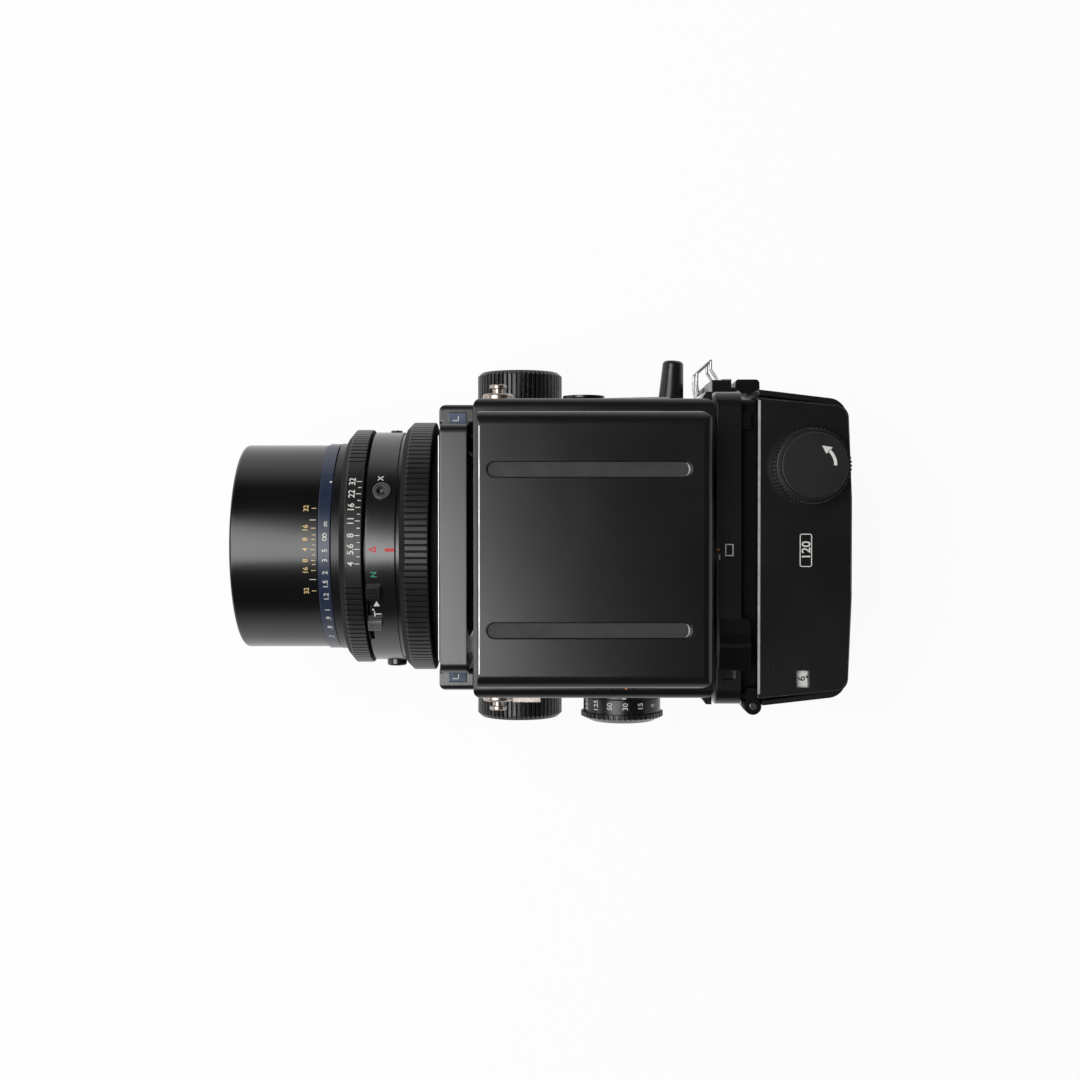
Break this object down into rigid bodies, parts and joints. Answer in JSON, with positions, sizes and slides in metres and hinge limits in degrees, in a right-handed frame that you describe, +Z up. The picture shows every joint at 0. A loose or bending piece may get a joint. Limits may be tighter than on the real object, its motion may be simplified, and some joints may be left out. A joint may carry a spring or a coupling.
{
  "type": "medium format film camera",
  "caption": "Boxy single lens reflex camera with closed waist level finder, bellows focusing front, wide lens and a revolving roll film magazine.",
  "frame": {"origin": "mouth of the tripod socket, on the base plane", "axes": "+X the camera's left side, +Y rear (film back), +Z up; the lens looks along -Y"},
  "size_m": [0.148, 0.2312, 0.1335],
  "materials": {
    "satin_black_paint": "satin black paint over die cast metal",
    "semigloss_black": "semi-gloss black enamel",
    "black_leatherette": "pebbled black leatherette",
    "black_plastic": "matte black plastic",
    "gloss_black_plastic": "smooth black plastic",
    "black_anodised": "black anodised metal",
    "blue_ring_paint": "blue painted metal",
    "bright_steel": "brushed steel",
    "chrome_plate": "chrome plated",
    "optical_glass": "coated optical glass",
    "ground_screen": "ground glass with a fine matt side",
    "mirror_coating": "front silvered mirror",
    "bellows_cloth": "matt black pleated cloth",
    "grey_metal": "grey satin metal"
  },
  "bodies": {
    "camera_body": {"body_shell": "satin_black_paint", "base_plate": "semigloss_black", "tripod_socket": "bright_steel", "body_screws": "bright_steel", "left_side_cover": "black_leatherette", "right_side_cover": "black_leatherette", "focusing_screen": "ground_screen", "strap_lugs": "chrome_plate", "finder_base": "satin_black_paint", "bellows": "bellows_cloth"},
    "mirror": {"mirror_frame": "black_anodised", "mirror_glass": "mirror_coating"},
    "baffle": {"light_baffle": "black_anodised"},
    "release": {"shutter_release_button": "gloss_black_plastic"},
    "collar": {"release_collar": "black_anodised"},
    "speed_dial": {"shutter_speed_dial": "black_anodised"},
    "cocking_lever": {"cocking_lever_arm": "semigloss_black", "cocking_lever_grip": "black_plastic"},
    "focus_lock": {"focus_lock_lever": "grey_metal"},
    "focus_drive": {"pinion_shaft": "bright_steel", "left_focus_knob": "black_plastic", "right_focus_knob": "black_plastic"},
    "standard": {"front_standard": "satin_black_paint", "focus_racks": "bright_steel", "lens_flange": "satin_black_paint", "lens_core": "black_anodised", "front_element": "optical_glass", "rear_element": "optical_glass", "shutter_blades": "black_anodised", "iris_blades": "black_anodised", "lens_front_barrel": "semigloss_black", "lens_rear_barrel": "semigloss_black", "x_sync_socket": "chrome_plate"},
    "distance": {"distance_ring": "blue_ring_paint"},
    "aperture": {"aperture_ring": "black_anodised"},
    "time_slider": {"time_lever": "black_anodised"},
    "preview_slider": {"preview_lever": "grey_metal"},
    "bayonet": {"bayonet_ring": "black_anodised"},
    "lid": {"finder_lid": "satin_black_paint"},
    "magnifier": {"magnifier_frame": "black_anodised", "magnifier_lens": "optical_glass"},
    "left_leaf": {"finder_left_leaf": "black_anodised"},
    "right_leaf": {"finder_right_leaf": "black_anodised"},
    "rear_leaf": {"finder_rear_leaf": "black_anodised"},
    "back": {"revolving_adapter": "satin_black_paint", "magazine_frame": "satin_black_paint", "magazine_plates": "satin_black_paint", "pressure_plate": "black_anodised", "film_rollers": "bright_steel", "door_hinge_pin": "chrome_plate"},
    "lock_upper": {"slide_lock_upper": "semigloss_black"},
    "lock_lower": {"slide_lock_lower": "semigloss_black"},
    "door": {"magazine_door": "satin_black_paint"},
    "latch": {"door_latch": "semigloss_black"},
    "takeup": {"takeup_spool": "black_plastic", "wind_knob": "semigloss_black"},
    "supply": {"supply_spool": "black_plastic"},
    "counter": {"counter_dial": "gloss_black_plastic"},
    "slide": {"dark_slide": "bright_steel", "dark_slide_handle": "bright_steel"}
  },
  "joints": [
    {"name": "mirror_swing", "type": "hinge", "parent": "camera_body", "child": "mirror", "pos_m": [0, 0.0389, 0.09], "axis": [-1, 0, 0], "range_deg": [0, 45]},
    {"name": "baffle_swing", "type": "hinge", "parent": "camera_body", "child": "baffle", "pos_m": [0, 0.0398, 0.0834], "axis": [-1, 0, 0], "range_deg": [0, 90]},
    {"name": "release_press", "type": "slide", "parent": "camera_body", "child": "release", "axis": [0, 1, 0], "range_m": [0, 0.0035], "stiffness_N_per_m": 300},
    {"name": "collar_turn", "type": "hinge", "parent": "camera_body", "child": "collar", "pos_m": [-0.045, -0.06, 0.012], "axis": [0, 1, 0], "range_deg": [-45, 45]},
    {"name": "speed_dial_turn", "type": "hinge", "parent": "camera_body", "child": "speed_dial", "pos_m": [0.06, 0.0125, 0.072], "axis": [1, 0, 0], "range_deg": [-90, 180]},
    {"name": "cocking_stroke", "type": "hinge", "parent": "camera_body", "child": "cocking_lever", "pos_m": [-0.056, -0.002, 0.055], "axis": [1, 0, 0], "range_deg": [0, 58], "stiffness_Nm_per_rad": 0.06},
    {"name": "focus_lock_turn", "type": "hinge", "parent": "camera_body", "child": "focus_lock", "pos_m": [0.0555, -0.028, 0.032], "axis": [-1, 0, 0], "range_deg": [0, 30]},
    {"name": "focus_slide", "type": "slide", "parent": "camera_body", "child": "standard", "axis": [0, -1, 0], "range_m": [0, 0.045], "deforming": ["bellows"]},
    {"name": "focus_knob_turn", "type": "hinge", "parent": "camera_body", "child": "focus_drive", "pos_m": [0, -0.028, 0.032], "axis": [1, 0, 0], "range_deg": [0, 540]},
    {"name": "distance_turn", "type": "hinge", "parent": "standard", "child": "distance", "pos_m": [0, -0.1005, 0.057], "axis": [0, 1, 0], "range_deg": [-54, 6]},
    {"name": "aperture_turn", "type": "hinge", "parent": "standard", "child": "aperture", "pos_m": [0, -0.09, 0.057], "axis": [0, 1, 0], "range_deg": [-6.5, 31.5]},
    {"name": "time_lever_move", "type": "hinge", "parent": "standard", "child": "time_slider", "pos_m": [0, -0.0817, 0.057], "axis": [0, 1, 0], "range_deg": [0, 8]},
    {"name": "preview_lever_move", "type": "hinge", "parent": "standard", "child": "preview_slider", "pos_m": [0, -0.0817, 0.057], "axis": [0, 1, 0], "range_deg": [0, 10]},
    {"name": "bayonet_turn", "type": "hinge", "parent": "standard", "child": "bayonet", "pos_m": [0, -0.066, 0.057], "axis": [0, 1, 0], "range_deg": [0, 40]},
    {"name": "lid_open", "type": "hinge", "parent": "camera_body", "child": "lid", "pos_m": [0, -0.0405, 0.1206], "axis": [1, 0, 0], "range_deg": [0, 90]},
    {"name": "magnifier_unfold", "type": "hinge", "parent": "lid", "child": "magnifier", "pos_m": [0, -0.0045, 0.1298], "axis": [-1, 0, 0], "range_deg": [0, 90]},
    {"name": "left_leaf_unfold", "type": "hinge", "parent": "camera_body", "child": "left_leaf", "pos_m": [0.045, 0, 0.1129], "axis": [0, 1, 0], "range_deg": [0, 90]},
    {"name": "right_leaf_unfold", "type": "hinge", "parent": "camera_body", "child": "right_leaf", "pos_m": [-0.045, 0, 0.1129], "axis": [0, -1, 0], "range_deg": [0, 90]},
    {"name": "rear_leaf_unfold", "type": "hinge", "parent": "camera_body", "child": "rear_leaf", "pos_m": [0, 0.0364, 0.1242], "axis": [-1, 0, 0], "range_deg": [0, 90]},
    {"name": "back_revolve", "type": "hinge", "parent": "camera_body", "child": "back", "pos_m": [0, 0.0454, 0.057], "axis": [0, 1, 0], "range_deg": [0, 90]},
    {"name": "upper_lock_slide", "type": "slide", "parent": "back", "child": "lock_upper", "axis": [1, 0, 0], "range_m": [0, 0.005]},
    {"name": "lower_lock_slide", "type": "slide", "parent": "back", "child": "lock_lower", "axis": [1, 0, 0], "range_m": [0, 0.005]},
    {"name": "door_open", "type": "hinge", "parent": "back", "child": "door", "pos_m": [0.0582, 0.0588, 0.057], "axis": [0, 0, -1], "range_deg": [0, 110]},
    {"name": "latch_slide", "type": "slide", "parent": "door", "child": "latch", "axis": [0, 1, 0], "range_m": [0, 0.0025]},
    {"name": "wind_turn", "type": "hinge", "parent": "back", "child": "takeup", "pos_m": [-0.0301, 0.0792, 0.057], "axis": [0, 0, 1], "range_deg": [0, 3600]},
    {"name": "supply_turn", "type": "hinge", "parent": "back", "child": "supply", "pos_m": [0.0301, 0.0792, 0.057], "axis": [0, 0, 1], "range_deg": [0, 3600]},
    {"name": "counter_turn", "type": "hinge", "parent": "back", "child": "counter", "pos_m": [0.043, 0.077, 0.104], "axis": [0, 0, 1], "range_deg": [-360, 0]},
    {"name": "dark_slide_pull", "type": "slide", "parent": "back", "child": "slide", "axis": [-1, 0, 0], "range_m": [0, 0.095]}
  ],
  "couplings": [
    {"joint": "baffle_swing", "follows": "mirror_swing", "ratio": 2},
    {"joint": "focus_knob_turn", "follows": "focus_slide", "rad_per_m": 208.33},
    {"joint": "magnifier_unfold", "follows": "lid_open", "ratio": 1},
    {"joint": "left_leaf_unfold", "follows": "lid_open", "ratio": 1},
    {"joint": "right_leaf_unfold", "follows": "lid_open", "ratio": 1},
    {"joint": "rear_leaf_unfold", "follows": "lid_open", "ratio": 1},
    {"joint": "supply_turn", "follows": "wind_turn", "ratio": 1},
    {"joint": "counter_turn", "follows": "wind_turn", "ratio": -0.1}
  ]
}
